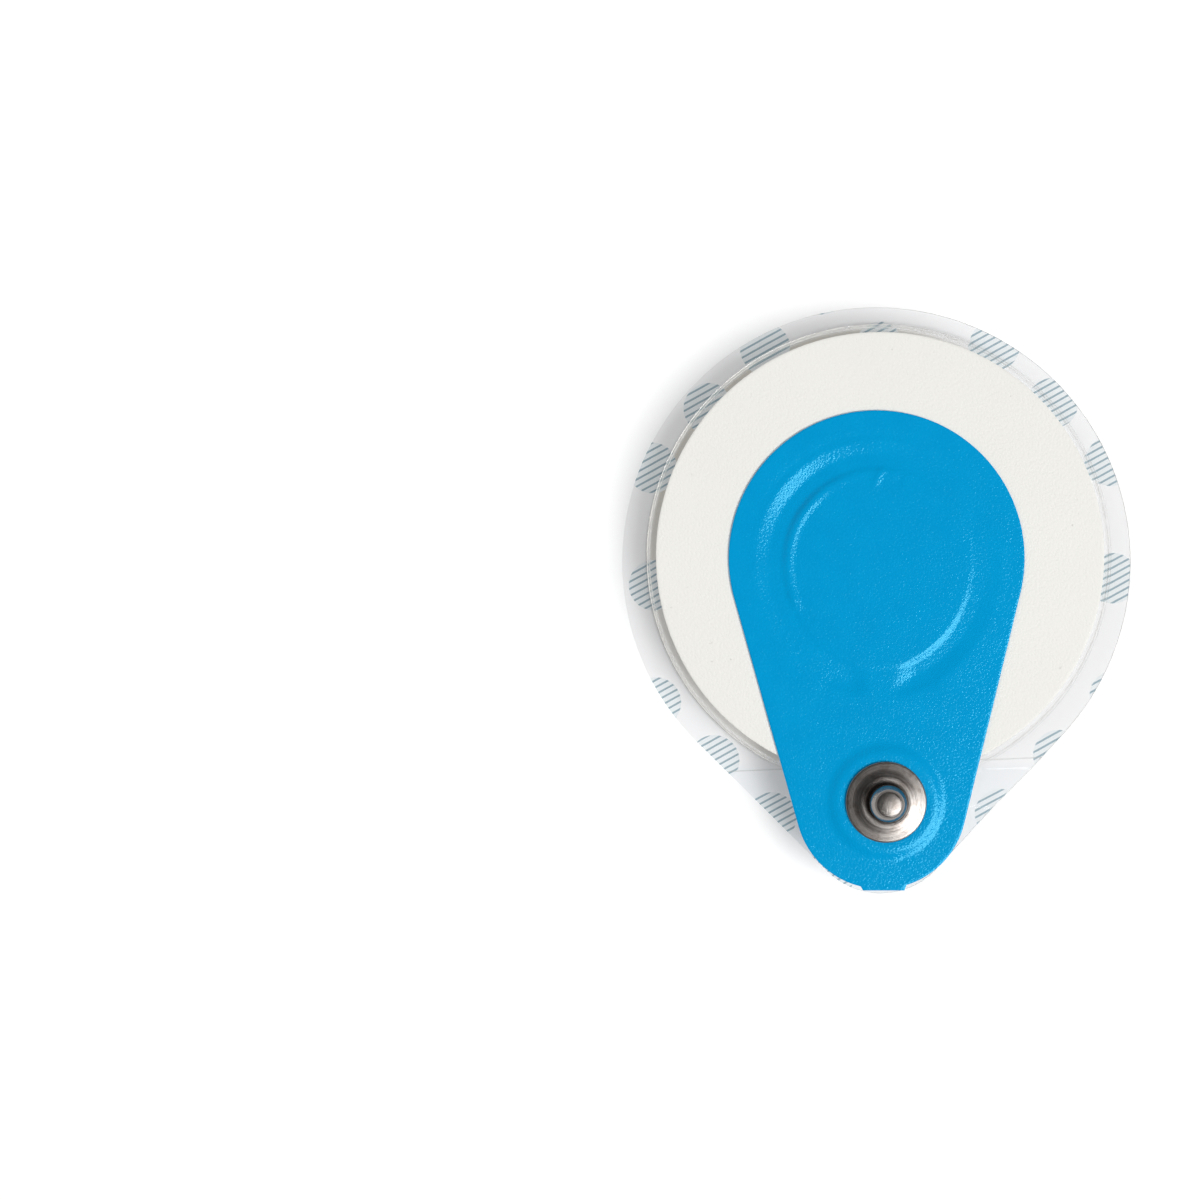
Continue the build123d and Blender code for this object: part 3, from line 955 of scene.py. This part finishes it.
pale = Finish("white_table")
seen = looked_at(pale, "Is Camera Ray", "Is Glossy Ray", "Is Transmission Ray",
                 "Transmission Depth")
paper = pale.node("ShaderNodeBsdfDiffuse", values={"Color": (PALE, PALE, PALE, 1)}).outputs[0]
x, y, _ = pale.parts(pale.place())
far = ((x * x + y * y) ** 0.5).step(*GLOW_RISE)
glow = pale.node("ShaderNodeEmission", values={"Color": seen * far}).outputs[0]
pale.show(pale.node("ShaderNodeAddShader", values={0: paper, 1: glow}).outputs[0])
pale.wear(table)

# %% Studio
DIM = 0.26
MIRRORED = (0.1, 0.6, 0.5, -0.2)

world = bpy.data.worlds.new("studio")
bpy.context.scene.world = world
world.use_nodes = True
studio = Finish("studio", world)
look = studio.node("ShaderNodeTexCoord").outputs["Generated"]
height = studio.parts(look)[2]
open_view = looked_at(studio, "Is Camera Ray", "Is Transmission Ray", "Transmission Depth")
mirror = looked_at(studio, "Is Glossy Ray") * height.step(*MIRRORED)
sky = studio.node("ShaderNodeBackground", values={
    "Color": (1, 1, 1, 1), "Strength": open_view.most(mirror + DIM)}).outputs[0]
studio.node("ShaderNodeOutputWorld", values={"Surface": sky})
print("the studio is", DIM, "bright for the object and 1 to look at")

# %% [markdown]
# ## Softboxes
# A large softbox stands where the highlights on the label's slopes and on the stud put it. A small
# weak one on the other side fills the shadows, and is kept out of mirrors.

# %% Softboxes
def softbox(name, way, lean, distance, size, power, mirrored=True):
    """A square lamp over the object, leaning this many degrees off the upright."""
    data = bpy.data.lights.new(name, "AREA")
    data.shape, data.size, data.energy = "SQUARE", size, power
    lamp = bpy.data.objects.new(name, data)
    bpy.context.scene.collection.objects.link(lamp)
    way, lean = math.radians(way), math.radians(lean)
    out = Vector((math.sin(lean) * math.cos(way), math.sin(lean) * math.sin(way), math.cos(lean)))
    lamp.location = out * distance
    lamp.rotation_euler = out.to_track_quat("Z", "Y").to_euler()
    lamp.visible_transmission = False
    lamp.visible_glossy = mirrored
    print(name, "at", [round(c / MM) for c in lamp.location])


softbox("key_softbox", way=-35, lean=35, distance=0.8, size=0.42, power=5.4)
softbox("fill_softbox", way=150, lean=52, distance=0.27, size=0.25, power=0.17, mirrored=False)

# %% [markdown]
# ## Camera
# The camera looks straight down. It stands over the middle of the photograph and not over the
# electrode, so the dome and the stud lean outwards in the picture as they do there.

# %% Camera
CAMERA_AT, LENS, SENSOR = (-0.0298, -0.00386, 0.256), 70.1, 36
camera_data = bpy.data.cameras.new("camera")
camera_data.sensor_width, camera_data.lens = SENSOR, LENS
camera = bpy.data.objects.new("camera", camera_data)
bpy.context.scene.collection.objects.link(camera)
camera.location = CAMERA_AT
camera_data.clip_start, camera_data.clip_end = 0.01, 20
bpy.context.scene.camera = camera
bpy.context.scene.view_settings.view_transform = "Standard"
print("camera at", [round(c / MM, 1) for c in camera.location])
